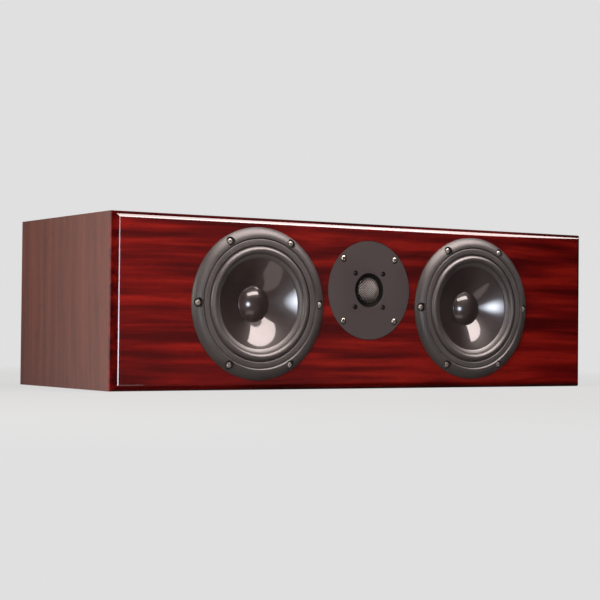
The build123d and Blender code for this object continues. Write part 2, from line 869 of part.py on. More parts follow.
with BuildPart() as tweeter_front_plate:
    with BuildSketch(facing(0, tweeter_height, front_y + tweeter_motor_depth)):
        Circle(tweeter_front_plate_radius)
        Circle(tweeter_bore, mode=Mode.SUBTRACT)
        with Locations(*plate_places):
            Circle(plate_screw_radius + slip, mode=Mode.SUBTRACT)
    extrude(amount=tweeter_front_plate_thickness)
    # raised land outside the dome's surround, which the faceplate is screwed down on
    with BuildSketch(facing(0, tweeter_height, front_y + plate_thickness)):
        Circle(tweeter_front_plate_radius)
        Circle(surround_outer + slip, mode=Mode.SUBTRACT)
        with Locations(*plate_places):
            Circle(plate_screw_radius + slip, mode=Mode.SUBTRACT)
    extrude(amount=tweeter_motor_depth - plate_thickness)
save(tweeter_front_plate, "tweeter_front_plate")

ring(
    "tweeter_magnet",
    facing(0, tweeter_height, front_y + tweeter_magnet_depth),
    tweeter_magnet_radius,
    tweeter_magnet_hole_radius,
    tweeter_magnet_thickness,
)

with BuildPart() as tweeter_back_plate:
    with BuildSketch(tweeter_section):
        with BuildLine():
            Polyline(
                (tweeter_vent_radius, tweeter_motor_depth),
                (tweeter_pole_radius, tweeter_motor_depth),
                (tweeter_pole_radius, tweeter_yoke_depth),
                (tweeter_front_plate_radius, tweeter_yoke_depth),
                (tweeter_front_plate_radius, tweeter_back_depth),
                (tweeter_vent_radius, tweeter_back_depth),
                close=True,
            )
        make_face()
    revolve(axis=tweeter_axis)
save(tweeter_back_plate, "tweeter_back_plate")

with BuildPart() as tweeter_rear_cup:
    with BuildSketch(facing(0, tweeter_height, front_y + tweeter_back_depth)):
        Circle(rear_cup_radius)
    extrude(amount=rear_cup_depth)
    with BuildSketch(facing(0, tweeter_height, front_y + tweeter_back_depth)):
        Circle(rear_cup_radius - rear_cup_wall)
    extrude(amount=rear_cup_depth - rear_cup_wall, mode=Mode.SUBTRACT)
save(tweeter_rear_cup, "tweeter_rear_cup")

screws(
    "tweeter_mounting_screws",
    facing(0, tweeter_height, front_y + mounting_sink),
    mounting_places,
    (mounting_head_radius, mounting_head_height),
    (mounting_screw_radius, mounting_screw_length),
    head_bevel,
)
screws(
    "tweeter_plate_screws",
    facing(0, tweeter_height, front_y + plate_sink),
    plate_places,
    (plate_head_radius, plate_head_height),
    (plate_screw_radius, plate_screw_length),
    small_head_bevel,
)

# Ports: flared at both ends, with a collar in the rear panel and a flange flush with its face
flare_bow = port_flare * (1 - cos(radians(45)))
tube_outer = port_radius + port_wall
for side, name in ((-1, "left_port_tube"), (1, "right_port_tube")):
    mouth = Plane(origin=(side * port_offset, rear_y, middle_z), x_dir=(1, 0, 0), z_dir=(0, 0, -1))
    inner_flare = port_length - port_flare
    with BuildPart() as port:
        with BuildSketch(mouth):
            with BuildLine():
                ThreePointArc(
                    (collar_radius, 0),
                    (port_radius + flare_bow, flare_bow),
                    (port_radius, port_flare),
                )
                Line((port_radius, port_flare), (port_radius, inner_flare))
                ThreePointArc(
                    (port_radius, inner_flare),
                    (port_radius + flare_bow, port_length - flare_bow),
                    (collar_radius, port_length),
                )
                Line((collar_radius, port_length), (collar_radius, port_length - port_wall))
                ThreePointArc(
                    (collar_radius, port_length - port_wall),
                    (tube_outer + flare_bow, port_length - port_wall - flare_bow),
                    (tube_outer, inner_flare - port_wall),
                )
                Polyline(
                    (tube_outer, inner_flare - port_wall),
                    (tube_outer, port_collar),
                    (collar_radius, port_collar),
                    (collar_radius, port_flange_thickness),
                    (port_flange_radius, port_flange_thickness),
                    (port_flange_radius, 0),
                    (collar_radius, 0),
                )
            make_face()
        revolve(axis=Axis((side * port_offset, rear_y, middle_z), (0, 1, 0)))
    save(port, name)

# Terminal cup with its posts
cup_floor_y = rear_y - cup_depth
cup_back_y = cup_floor_y - cup_floor
cup_face_y = rear_y + cup_flange_thickness
boss_face_y = cup_floor_y + post_boss_height
post_places = [(-post_offset, 0), (post_offset, 0)]

with BuildPart() as terminal_cup:
    with BuildSketch(facing(0, middle_z, rear_y)):
        RectangleRounded(cup_flange_width, cup_flange_height, cup_flange_corner)
    extrude(amount=cup_flange_thickness)
    with BuildSketch(facing(0, middle_z, rear_y)):
        RectangleRounded(cup_width, cup_opening_height, cup_corner)
    extrude(amount=cup_back_y - rear_y)
    with BuildSketch(facing(0, middle_z, cup_face_y)):
        RectangleRounded(cup_width - 2 * cup_wall, cup_opening_height - 2 * cup_wall, cup_corner - cup_wall)
    extrude(amount=cup_floor_y - cup_face_y, mode=Mode.SUBTRACT)
    with BuildSketch(facing(0, middle_z, cup_floor_y)):
        with Locations(*post_places):
            Circle(post_boss_radius)
    extrude(amount=post_boss_height)
    with BuildSketch(facing(0, middle_z, boss_face_y)):
        with Locations(*post_places):
            Circle(post_radius + post_clearance)
    extrude(amount=cup_back_y - boss_face_y, mode=Mode.SUBTRACT)
    with BuildSketch(facing(0, middle_z, rear_y)):
        with Locations(*cup_screw_places):
            Circle(cup_screw_radius + slip)
    extrude(amount=cup_flange_thickness, mode=Mode.SUBTRACT)
save(terminal_cup, "terminal_cup")

with BuildPart() as terminal_cup_screws:
    with BuildSketch(facing(0, middle_z, cup_face_y)):
        with Locations(*cup_screw_places):
            Circle(cup_head_radius)
    extrude(amount=cup_head_height)
    chamfer(
        terminal_cup_screws.faces().filter_by(Plane.XZ).group_by(Axis.Y)[-1].edges(),
        length=head_bevel,
    )
    with BuildSketch(facing(0, middle_z, cup_face_y)):
        with Locations(*cup_screw_places):
            Circle(cup_screw_radius)
    extrude(amount=slip - cup_screw_length)
save(terminal_cup_screws, "terminal_cup_screws")

post_end_y = cup_floor_y + post_reach
post_tail_y = cup_back_y - post_tail
nut_foot_y = boss_face_y + nut_gap

for x, colour in ((-post_offset, "black"), (post_offset, "red")):
    with BuildPart() as post:
        with BuildSketch(facing(x, middle_z, post_tail_y)):
            Circle(post_radius)
        extrude(amount=post_end_y - post_tail_y)
        with BuildSketch(facing(x, middle_z, post_end_y)):
            Circle(socket_radius)
        extrude(amount=-socket_depth, mode=Mode.SUBTRACT)
    save(post, f"{colour}_binding_post")

    with BuildPart() as nut:
        with BuildSketch(facing(x, middle_z, nut_foot_y)):
            Circle(nut_radius)
            Circle(post_radius + post_clearance, mode=Mode.SUBTRACT)
        extrude(amount=nut_collar_length)
        with BuildSketch(facing(x, middle_z, nut_foot_y + nut_collar_length)):
            Circle(nut_grip_radius)
            with Locations(*on_circle(nut_grip_radius, nut_flute_count)):
                Circle(nut_flute_radius, mode=Mode.SUBTRACT)
            Circle(post_radius + post_clearance, mode=Mode.SUBTRACT)
        extrude(amount=nut_length - nut_collar_length)
    save(nut, f"{colour}_post_nut")

with BuildPart() as post_lock_nuts:
    with BuildSketch(facing(0, middle_z, cup_back_y)):
        with Locations(*post_places):
            RegularPolygon(lock_nut_across / 2, 6, major_radius=False)
            Circle(post_radius + post_clearance, mode=Mode.SUBTRACT)
    extrude(amount=-lock_nut_thickness)
save(post_lock_nuts, "post_lock_nuts")

# Crossover: board on standoffs, coils on bobbins, capacitors and resistors
board_z = floor_z + standoff_height
board_top_z = board_z + board_thickness
input_lead_y = post_tail_y - lead_reach
board_rear_y = input_lead_y + end_lane / 2
board_front_y = board_rear_y - board_length
board_centre_y = (board_front_y + board_rear_y) / 2
standoff_span_x = board_width - end_lane
standoff_span_y = board_length - end_lane
row_start_x = board_margin - board_width / 2
front_row_y = board_front_y + end_lane + front_row_length / 2
rear_row_y = board_rear_y - end_lane - rear_row_length / 2

with BuildPart() as crossover_board:
    with BuildSketch(Plane.XY.offset(board_z)):
        with Locations((0, board_centre_y)):
            Rectangle(board_width, board_length)
            with GridLocations(standoff_span_x, standoff_span_y, 2, 2):
                Circle(standoff_pin_radius + slip, mode=Mode.SUBTRACT)
    extrude(amount=board_thickness)
save(crossover_board, "crossover_board")

with BuildPart() as board_standoffs:
    for start_z, radius, length in (
        (floor_z, standoff_radius, standoff_height),
        (board_z, standoff_pin_radius, board_thickness),
        (board_top_z, standoff_cap_radius, standoff_cap_height),
    ):
        with BuildSketch(Plane.XY.offset(start_z)):
            with Locations((0, board_centre_y)):
                with GridLocations(standoff_span_x, standoff_span_y, 2, 2):
                    Circle(radius)
        extrude(amount=length)
save(board_standoffs, "board_standoffs")


def inductor(name, row_y, radius, hole, coil_height):
    # round coil between the two flanges of its bobbin, first in its row
    with BuildPart() as piece:
        for start, outer, length in (
            (0, radius, bobbin_flange),
            (bobbin_flange, radius - bobbin_flange, coil_height - 2 * bobbin_flange),
            (coil_height - bobbin_flange, radius, bobbin_flange),
        ):
            with BuildSketch(Plane.XY.offset(board_top_z + start)):
                with Locations((row_start_x + radius, row_y)):
                    Circle(outer)
                    Circle(hole, mode=Mode.SUBTRACT)
            extrude(amount=length)
    save(piece, name)


inductor(
    "tweeter_inductor",
    front_row_y,
    tweeter_inductor_radius,
    tweeter_inductor_hole,
    tweeter_inductor_height,
)
inductor(
    "woofer_inductor",
    rear_row_y,
    woofer_inductor_radius,
    woofer_inductor_hole,
    woofer_inductor_height,
)

front_capacitor_x = row_start_x + 2 * tweeter_inductor_radius + part_gap + capacitor_radius
capacitor_step = 2 * capacitor_radius + part_gap
rear_capacitor_x = row_start_x + 2 * woofer_inductor_radius + part_gap + capacitor_radius
capacitor_places = [
    (front_capacitor_x, front_row_y),
    (front_capacitor_x + capacitor_step, front_row_y),
    (rear_capacitor_x, rear_row_y),
]
with BuildPart() as crossover_capacitors:
    for x, y in capacitor_places:
        with BuildSketch(facing(x, board_top_z + capacitor_radius, y - capacitor_length / 2)):
            Circle(capacitor_radius)
        extrude(amount=capacitor_length)
save(crossover_capacitors, "crossover_capacitors")

resistor_x = board_width / 2 - board_margin - resistor_width / 2
with BuildPart() as crossover_resistors:
    with BuildSketch(Plane.XY.offset(board_top_z)):
        with Locations((resistor_x, front_row_y), (resistor_x, rear_row_y)):
            Rectangle(resistor_width, resistor_length)
    extrude(amount=resistor_width)
save(crossover_resistors, "crossover_resistors")

# Leads: posts to board, tweeter cup to board, board to each woofer's terminal strip
tweeter_lead_y = board_front_y + end_lane / 2
tweeter_cup_y = front_y + tweeter_back_depth + rear_cup_depth
tweeter_lead_z = tweeter_height - tweeter_lead_drop
woofer_lead_x = board_width / 2 - board_margin - lead_radius
woofer_lead_y = board_front_y + end_lane + front_row_length + middle_lane / 2
strip_back_y = front_y + motor_depth + strip_thickness
strip_x = woofer_offset - strip_reach - strip_length + 2 * lead_radius
routes = []
for side in (-1, 1):
    post_x = side * post_offset
    routes.append([
        (post_x, post_tail_y, middle_z),
        (post_x, input_lead_y, middle_z),
        (post_x, input_lead_y, board_top_z),
    ])
    tweeter_lead_x = side * tweeter_lead_spread
    routes.append([
        (tweeter_lead_x, tweeter_cup_y, tweeter_lead_z),
        (tweeter_lead_x, tweeter_lead_y, tweeter_lead_z),
        (tweeter_lead_x, tweeter_lead_y, board_top_z),
    ])
    routes.append([
        (side * woofer_lead_x, woofer_lead_y, board_top_z),
        (side * woofer_lead_x, woofer_lead_y, middle_z),
        (side * strip_x, woofer_lead_y, middle_z),
        (side * strip_x, strip_back_y, middle_z),
    ])

with BuildPart() as internal_wiring:
    for route in routes:
        with BuildLine() as path:
            FilletPolyline(*route, radius=lead_bend)
        with BuildSketch(Plane(origin=path.line @ 0, z_dir=path.line % 0)):
            Circle(lead_radius)
        sweep(path=path.line)
save(internal_wiring, "internal_wiring")
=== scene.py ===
import math

import bpy
from mathutils import Matrix, Vector
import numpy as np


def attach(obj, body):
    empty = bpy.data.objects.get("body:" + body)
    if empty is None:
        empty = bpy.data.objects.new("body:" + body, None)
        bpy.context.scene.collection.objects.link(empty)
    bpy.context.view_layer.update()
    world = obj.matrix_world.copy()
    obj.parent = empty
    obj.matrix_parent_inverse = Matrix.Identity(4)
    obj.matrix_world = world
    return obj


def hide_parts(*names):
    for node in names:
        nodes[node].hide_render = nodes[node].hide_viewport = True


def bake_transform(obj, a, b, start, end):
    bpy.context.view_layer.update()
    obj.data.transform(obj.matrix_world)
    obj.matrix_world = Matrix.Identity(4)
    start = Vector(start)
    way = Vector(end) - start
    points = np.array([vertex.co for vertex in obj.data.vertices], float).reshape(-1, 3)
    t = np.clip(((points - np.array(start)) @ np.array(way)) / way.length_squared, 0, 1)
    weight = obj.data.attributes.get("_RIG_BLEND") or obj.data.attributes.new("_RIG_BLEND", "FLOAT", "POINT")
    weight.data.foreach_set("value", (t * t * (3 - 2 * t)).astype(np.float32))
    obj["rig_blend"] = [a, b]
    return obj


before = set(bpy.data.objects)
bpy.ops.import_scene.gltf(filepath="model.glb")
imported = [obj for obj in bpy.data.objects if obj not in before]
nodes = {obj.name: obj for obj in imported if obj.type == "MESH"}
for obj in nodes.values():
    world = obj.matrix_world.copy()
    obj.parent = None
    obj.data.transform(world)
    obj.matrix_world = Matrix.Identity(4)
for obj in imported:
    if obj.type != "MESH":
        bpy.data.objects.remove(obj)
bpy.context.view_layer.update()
mm = 0.001
frontFace = -114.0  # baffle's face, in mm along Y
layout = {  # where woofers, tweeter and screws sit on the baffle, in mm
    "across": 139.5, "height": 89.0, "screwCircle": 72.7, "screwCount": 6, "tweeterHeight": 106.0,
}
print("frame loaded,", len(nodes), "CAD nodes")


# helpers for materials

def hexColour(code):  # sRGB hex to linear RGBA
    parts = [int(code[i:i + 2], 16) / 255 for i in (1, 3, 5)]
    return [p / 12.92 if p <= 0.04045 else ((p + 0.055) / 1.055) ** 2.4 for p in parts] + [1.0]


def addNode(mat, kind, links=None, stops=None, **settings):  # a node with its settings, stops and links
    node = mat.node_tree.nodes.new(kind)
    for key, value in settings.items():
        setattr(node, key, value)
    for place, (position, code) in enumerate(stops or []):
        ramp = node.color_ramp.elements
        stop = ramp[place] if place < len(ramp) else ramp.new(position)
        stop.position = position
        stop.color = hexColour(code)
    for key, value in (links or {}).items():
        if isinstance(value, bpy.types.NodeSocket):
            mat.node_tree.links.new(value, node.inputs[key])
        else:
            node.inputs[key].default_value = value
    return node


def startMaterial(name):
    mat = bpy.data.materials.new(name)
    mat.use_nodes = True
    mat.node_tree.nodes.clear()
    return mat


def endMaterial(mat, links):
    shader = addNode(mat, "ShaderNodeBsdfPrincipled", links)
    addNode(mat, "ShaderNodeOutputMaterial", {"Surface": shader.outputs[0]})
    return mat


def dress(mat, *names):
    for name in names:
        nodes[name].data.materials.clear()
        nodes[name].data.materials.append(mat)


# Ribbon-striped mahogany veneer under polished clear lacquer: broad dark and light bands along the grain,
# fine streaks in them, short dark pores, and a clear coat that mirrors the lamps. Painted shade darkens the
# rounded front edges, and the side panels' paler, browner colours are a painted reflection of the pale
# backdrop.
veneer = {
    # the side's colours are paler and browner than the front's: a painted reflection of the pale backdrop in
    # the side panels' lacquer
    "front": ("#4c0a0a", "#6b100e", "#8e1b14"), "side": ("#672c19", "#70331e", "#793a23"),
    "tones": (0.46, 0.61, 0.76),  # where these colours stand in the bands' noise
    "bandLength": 220.0, "bandWidth": 11.0,  # mm
    "streakLength": 130.0, "streakWidth": 1.7, "streakShare": 0.07,
    "poreLength": 10.0, "poreWidth": 0.7,  # real pores are 0.2 wide, drawn wider so that they show
    "poreColour": "#2b0707", "poreShare": 0.25,
    "patchLength": 70.0, "patchWidth": 26.0, "patchShare": 0.14,  # where the ribbon turns to the light
    "drift": (4.5, 9, 9), "bend": 20.0,  # the bands wander, over some 220 mm by 110 mm
    "edgeDepth": 10.0, "edgeShade": "#bcbcbc",  # painted shade along the rounded front edges
    "roughness": (0.36, 0.5), "coatRoughness": 0.03, "coatIor": 1.52,
}


def mahogany(name, codes, turn):  # turn brings the grain from X to the panel's own direction
    mat = startMaterial(name)
    place = addNode(mat, "ShaderNodeTexCoord").outputs["Object"]
    turned = addNode(mat, "ShaderNodeMapping", {"Vector": place, "Rotation": turn}).outputs[0]
    slow = addNode(mat, "ShaderNodeMapping", {"Vector": turned, "Scale": veneer["drift"]}).outputs[0]
    drift = addNode(mat, "ShaderNodeTexNoise", {"Vector": slow, "Scale": 1.0, "Detail": 1.0})
    bend = veneer["bend"] * mm
    bent = addNode(mat, "ShaderNodeVectorMath", {0: drift.outputs["Color"], 1: (0, bend, bend), 2: turned},
                   operation="MULTIPLY_ADD").outputs[0]
    levels = []
    for part, detail in (("band", 2.0), ("streak", 2.0), ("pore", 0.0), ("patch", 1.0)):
        long, wide = 1 / (veneer[f"{part}Length"] * mm), 1 / (veneer[f"{part}Width"] * mm)
        spread = addNode(mat, "ShaderNodeMapping", {"Vector": bent, "Scale": (long, wide, wide)}).outputs[0]
        levels.append(addNode(mat, "ShaderNodeTexNoise", {
            "Vector": spread, "Scale": 1.0, "Detail": detail, "Roughness": 0.55}).outputs[0])
    bands, streaks, pores, patches = levels
    shifted = addNode(mat, "ShaderNodeMath", {0: streaks, 1: veneer["streakShare"], 2: bands},
                      operation="MULTIPLY_ADD").outputs[0]
    lifted = addNode(mat, "ShaderNodeMath", {0: patches, 1: veneer["patchShare"], 2: shifted},
                     operation="MULTIPLY_ADD").outputs[0]
    tones = list(zip(veneer["tones"], codes))
    wood = addNode(mat, "ShaderNodeValToRGB", {"Fac": lifted}, stops=tones).outputs[0]
    poreMask = addNode(mat, "ShaderNodeMapRange", {
        "Value": pores, "From Min": 0.62, "From Max": 0.74,
        "To Min": 0.0, "To Max": veneer["poreShare"]}).outputs[0]
    grain = addNode(mat, "ShaderNodeMix", {0: poreMask, 6: wood, 7: hexColour(veneer["poreColour"])},
                    data_type="RGBA").outputs[2]
    smooth, rough = veneer["roughness"]
    gloss = addNode(mat, "ShaderNodeMapRange", {
        "Value": streaks, "From Min": 0.3, "From Max": 0.7, "To Min": smooth, "To Max": rough}).outputs[0]
    # painted shade on the rounded front edges, darkest 0.6 to 5 mm behind the face and gone by 8 mm
    depth = addNode(mat, "ShaderNodeSeparateXYZ", {"Vector": place}).outputs["Y"]
    inward = addNode(mat, "ShaderNodeMapRange", {
        "Value": depth, "From Min": frontFace * mm,
        "From Max": (frontFace + veneer["edgeDepth"]) * mm}).outputs[0]
    edgeShadeTint = veneer["edgeShade"]
    edge = addNode(mat, "ShaderNodeValToRGB", {"Fac": inward}, stops=[
        (0.0, "#ffffff"), (0.06, edgeShadeTint), (0.5, edgeShadeTint), (0.8, "#ffffff")]).outputs[0]
    edgeShaded = addNode(mat, "ShaderNodeMix", {0: 1.0, 6: grain, 7: edge}, data_type="RGBA",
                      blend_type="MULTIPLY").outputs[2]
    return endMaterial(mat, {
        "Base Color": edgeShaded, "Roughness": gloss, "Specular IOR Level": 0.0,  # the coat alone mirrors
        "Coat Weight": 1.0, "Coat Roughness": veneer["coatRoughness"], "Coat IOR": veneer["coatIor"]})


alongX = mahogany("mahogany_veneer_long", veneer["front"], (0, 0, 0))
# the side panels take the paler, browner colours: a painted reflection of the pale backdrop
sideVeneerPaintedReflection = mahogany("mahogany_veneer_upright_painted_reflection", veneer["side"], (0, math.radians(90), 0))
dress(alongX, "front_baffle", "top_panel", "bottom_panel", "rear_panel")
dress(sideVeneerPaintedReflection, "left_side_panel", "right_side_panel")
print("veneer done")


pocketRim = (4.5, 5.0)  # mm from the screw's middle, where the pocket's painted shade ends


def pocketShadeMask(mat, place):  # 1 in the pockets round the woofers' screws, where shade is painted, 0 elsewhere
    apart = addNode(mat, "ShaderNodeSeparateXYZ", {"Vector": place})
    mirrored = addNode(mat, "ShaderNodeMath", {0: apart.outputs["X"]}, operation="ABSOLUTE").outputs[0]
    across = addNode(mat, "ShaderNodeMath", {0: mirrored, 1: layout["across"] * mm},
                     operation="SUBTRACT").outputs[0]
    up = addNode(mat, "ShaderNodeMath", {0: apart.outputs["Z"], 1: layout["height"] * mm},
                 operation="SUBTRACT").outputs[0]
    angle = addNode(mat, "ShaderNodeMath", {0: up, 1: across}, operation="ARCTAN2").outputs[0]
    fold = addNode(mat, "ShaderNodeMath", {0: angle, 1: math.pi / layout["screwCount"]},
                   operation="PINGPONG").outputs[0]  # every screw falls on one
    flat = addNode(mat, "ShaderNodeCombineXYZ", {"X": across, "Y": up}).outputs[0]
    reach = addNode(mat, "ShaderNodeVectorMath", {0: flat}, operation="LENGTH").outputs["Value"]
    turn = addNode(mat, "ShaderNodeCombineXYZ", {"X": reach}).outputs[0]
    folded = addNode(mat, "ShaderNodeVectorRotate", {"Vector": turn, "Angle": fold},
                     rotation_type="Z_AXIS").outputs[0]
    gap = addNode(mat, "ShaderNodeVectorMath", {0: folded, 1: (layout["screwCircle"] * mm, 0, 0)},
                  operation="DISTANCE").outputs["Value"]
    inner, outer = pocketRim
    return addNode(mat, "ShaderNodeMapRange", {
        "Value": gap, "From Min": inner * mm, "From Max": outer * mm, "To Min": 1.0, "To Max": 0.0}).outputs[0]


cloudSize = 40.0  # mm over which a finish drifts in tone
recessStart, recessEnd = 0.1, 0.4  # mm behind the baffle's face, over which the recesses' painted shade fades in


# Materials with one even grain: what the surface is made of, how far its colour wanders, and its gloss
def grained(name, codes, grit, roughness, relief, recessShade=None, pocketShade=None, **sockets):  # sizes in mm
    mat = startMaterial(name)
    place = addNode(mat, "ShaderNodeTexCoord").outputs["Object"]
    speck = addNode(mat, "ShaderNodeTexNoise", {
        "Vector": place, "Scale": 1 / (grit * mm), "Detail": 3.0, "Roughness": 0.6}).outputs[0]
    cloud = addNode(mat, "ShaderNodeTexNoise", {
        "Vector": place, "Scale": 1 / (cloudSize * mm), "Detail": 2.0}).outputs[0]
    blend = addNode(mat, "ShaderNodeMath", {0: speck, 1: cloud}, operation="ADD").outputs[0]
    colour = addNode(mat, "ShaderNodeValToRGB", {"Fac": blend}, stops=[
        (0.75, codes[0]), (1.0, codes[1])]).outputs[0]
    if recessShade:  # painted shade: a darker colour and less gloss on what lies behind the baffle's face
        depth = addNode(mat, "ShaderNodeSeparateXYZ", {"Vector": place}).outputs["Y"]
        behind = addNode(mat, "ShaderNodeMapRange", {
            "Value": depth, "From Min": (frontFace + recessStart) * mm,
            "From Max": (frontFace + recessEnd) * mm}).outputs[0]
        colour = addNode(mat, "ShaderNodeMix", {0: behind, 6: colour, 7: hexColour(recessShade)},
                         data_type="RGBA").outputs[2]
        sockets["Specular_IOR_Level"] = addNode(mat, "ShaderNodeMapRange", {
            "Value": behind, "To Min": 0.5, "To Max": 0.05}).outputs[0]
        sockets["Metallic"] = addNode(mat, "ShaderNodeMapRange", {
            "Value": behind, "To Min": sockets["Metallic"], "To Max": 0.0}).outputs[0]
    if pocketShade:  # painted shade in the pockets round the screws
        colour = addNode(mat, "ShaderNodeMix", {0: pocketShadeMask(mat, place), 6: colour, 7: hexColour(pocketShade)},
                         data_type="RGBA").outputs[2]
    gloss = addNode(mat, "ShaderNodeMapRange", {
        "Value": blend, "From Min": 0.7, "From Max": 1.3,
        "To Min": roughness * 0.88, "To Max": roughness * 1.12}).outputs[0]
    bump = addNode(mat, "ShaderNodeBump", {
        "Height": speck, "Strength": 0.35, "Distance": relief * mm}).outputs[0]
    links = {"Base Color": colour, "Roughness": gloss, "Normal": bump}
    links.update({key.replace("_", " "): value for key, value in sockets.items()})
    return endMaterial(mat, links)


castCoat = grained("powder_coated_casting", ("#393534", "#423e3d"), 0.8, 0.42, 0.02, pocketShade="#171514",
                   Specular_IOR_Level=0.38)  # satin, faint orange peel, painted shade in the screw pockets
gasketRubber = grained("moulded_gasket_rubber", ("#3a3635", "#443f3e"), 1.2, 0.46, 0.03,
                       Specular_IOR_Level=0.4)  # dull, with a weak sheen on its rims
rollRubber = grained("butyl_rubber", ("#3c3736", "#464140"), 1.0, 0.4, 0.02)  # soft sheen along the roll
coneFilm = grained("polished_polypropylene", ("#332a29", "#3a302e"), 6.0, 0.34, 0.004,
                   Specular_IOR_Level=0.35, Coat_Weight=1.0,
                   Coat_Roughness=0.05)  # clear images of the lamps inside a soft haze
plateAnodise = grained("anodised_aluminium_plate", ("#4f4646", "#544b4a"), 0.6, 0.5, 0.008,
                       recessShade="#171514", Metallic=0.35)  # even dark grey with a weak metal sheen, painted shade in the mouth and screw recesses
screwSteel = grained("phosphated_steel_screw", ("#8a847e", "#99928c"), 0.6, 0.38, 0.006,
                     Metallic=0.5)  # dull grey with a soft glint
nickelScrew = grained("nickelled_steel_screw", ("#938b82", "#aaa298"), 0.6, 0.26, 0.006,
                      Metallic=1.0)  # bright, warm glints
blackSteel = grained("black_oxide_steel", ("#312d2c", "#3f3a39"), 0.6, 0.35, 0.006,
                     Metallic=0.9)  # near black, an oily glint
meshSteel = grained("stainless_wire", ("#968f8b", "#b0aaa6"), 0.5, 0.3, 0.004,
                    Metallic=1.0)  # a pale line along each wire
domeMetal = grained("black_anodised_dome", ("#201e1d", "#2a2726"), 0.6, 0.3, 0.004,
                    Metallic=1.0)  # dark behind the guard
portPlastic = grained("moulded_abs", ("#1b1a1a", "#242222"), 0.9, 0.44, 0.03)  # fine spark-eroded texture
blackPlastic = grained("black_nylon", ("#181717", "#211f1f"), 0.7, 0.36, 0.015)  # smooth, waxy
redPlastic = grained("red_nylon", ("#8d1214", "#a11a1a"), 0.7, 0.34, 0.015)  # smooth, waxy
goldBrass = grained("gold_plated_brass", ("#c79a45", "#d9ad57"), 0.5, 0.22, 0.004,
                    Metallic=1.0)  # bright yellow
motorSteel = grained("zinc_plated_steel", ("#7f8286", "#979a9d"), 0.8, 0.3, 0.006, Metallic=1.0)  # bluish grey
ferriteCore = grained("sintered_ferrite", ("#232324", "#303031"), 0.5, 0.62, 0.05)  # charcoal, gritty
fibreboard = grained("raw_fibreboard", ("#8a6a48", "#a38057"), 0.9, 0.8, 0.08)  # dry brown fluff
feltPad = grained("wool_felt", ("#555250", "#6d6966"), 1.4, 0.95, 0.4, Sheen_Weight=0.4)  # grey, matted
boardLaminate = grained("glass_epoxy_laminate", ("#1f4a2c", "#28583a"), 0.6, 0.4, 0.02)  # green, half gloss
capacitorFilm = grained("wrapped_polyester_film", ("#b8862d", "#c8963c"), 4.0, 0.3, 0.01)  # amber, shiny
resistorClay = grained("cement_ceramic", ("#cfcac0", "#dcd8cf"), 0.5, 0.75, 0.05)  # chalky white
leadSleeve = grained("pvc_sleeve", ("#7d1c1a", "#8b2421"), 1.0, 0.4, 0.01)  # red, slightly shiny
print("plain finishes done")

dress(castCoat, "left_woofer_frame", "right_woofer_frame")
dress(plateAnodise, "tweeter_faceplate")
dress(domeMetal, "tweeter_dome")
dress(portPlastic, "left_port_tube", "right_port_tube", "terminal_cup")
dress(blackSteel, "terminal_cup_screws")
dress(goldBrass, "red_binding_post", "black_binding_post", "post_lock_nuts")
dress(redPlastic, "red_post_nut")
dress(blackPlastic, "black_post_nut", "tweeter_rear_cup", "board_standoffs")
dress(fibreboard, "left_brace", "right_brace")
dress(feltPad, "damping_pads")
dress(boardLaminate, "crossover_board", "left_woofer_terminals", "right_woofer_terminals")
dress(capacitorFilm, "crossover_capacitors")
dress(resistorClay, "crossover_resistors")
dress(leadSleeve, "internal_wiring")
dress(motorSteel, "left_woofer_front_plate", "right_woofer_front_plate", "left_woofer_yoke",
      "right_woofer_yoke", "tweeter_front_plate", "tweeter_back_plate")
dress(ferriteCore, "left_woofer_magnet", "right_woofer_magnet", "tweeter_magnet")


waveScale = 0.05  # per width of a thread: about six times too coarse, so that wire and weave show


# Enamelled copper wire wound in layers: a painted highlight along each turn and painted shade in the gaps
# between the turns
def wound(name, codes, wire):  # wire diameter in mm
    mat = startMaterial(name)
    place = addNode(mat, "ShaderNodeTexCoord").outputs["Object"]
    turns = addNode(mat, "ShaderNodeTexWave", {
        "Vector": place, "Scale": waveScale / (wire * mm), "Distortion": 0.4},
        bands_direction="DIAGONAL").outputs["Color"]
    colour = addNode(mat, "ShaderNodeValToRGB", {"Fac": turns}, stops=[
        (0.1, codes[0]), (0.6, codes[1])]).outputs[0]
    bump = addNode(mat, "ShaderNodeBump", {
        "Height": turns, "Strength": 0.5, "Distance": wire * mm * 0.3}).outputs[0]
    return endMaterial(mat, {"Base Color": colour, "Metallic": 0.8, "Roughness": 0.3, "Normal": bump})


copperWire = wound("enamelled_copper_wire", ("#5c2c14", "#b5683a"), 1.0)
coilWire = wound("voice_coil_wire", ("#6a3c1c", "#c07a46"), 0.4)
dress(copperWire, "woofer_inductor", "tweeter_inductor")
dress(coilWire, "left_woofer_voice_coil", "right_woofer_voice_coil", "tweeter_voice_coil")


# Resin-stiffened cotton: a square weave of ochre threads
def cotton(name, codes, thread):  # thread width in mm
    mat = startMaterial(name)
    place = addNode(mat, "ShaderNodeTexCoord").outputs["Object"]
    warp, weft = (addNode(mat, "ShaderNodeTexWave", {"Vector": place, "Scale": waveScale / (thread * mm)},
                          bands_direction=way).outputs["Color"] for way in ("X", "Z"))
    over = addNode(mat, "ShaderNodeMath", {0: warp, 1: weft}, operation="MULTIPLY").outputs[0]
    colour = addNode(mat, "ShaderNodeValToRGB", {"Fac": over}, stops=[
        (0.0, codes[0]), (0.7, codes[1])]).outputs[0]
    bump = addNode(mat, "ShaderNodeBump", {
        "Height": over, "Strength": 0.5, "Distance": thread * mm * 0.4}).outputs[0]
    return endMaterial(mat, {"Base Color": colour, "Roughness": 0.85, "Normal": bump})


spiderCloth = cotton("resin_cotton_cloth", ("#7a5a2c", "#b48d4e"), 0.8)
dress(spiderCloth, "left_woofer_spider", "right_woofer_spider", "tweeter_surround")
print("wound and woven finishes done")


# helpers for modelling

mergeGap = 0.002  # mm, under which a lathed piece's points are one


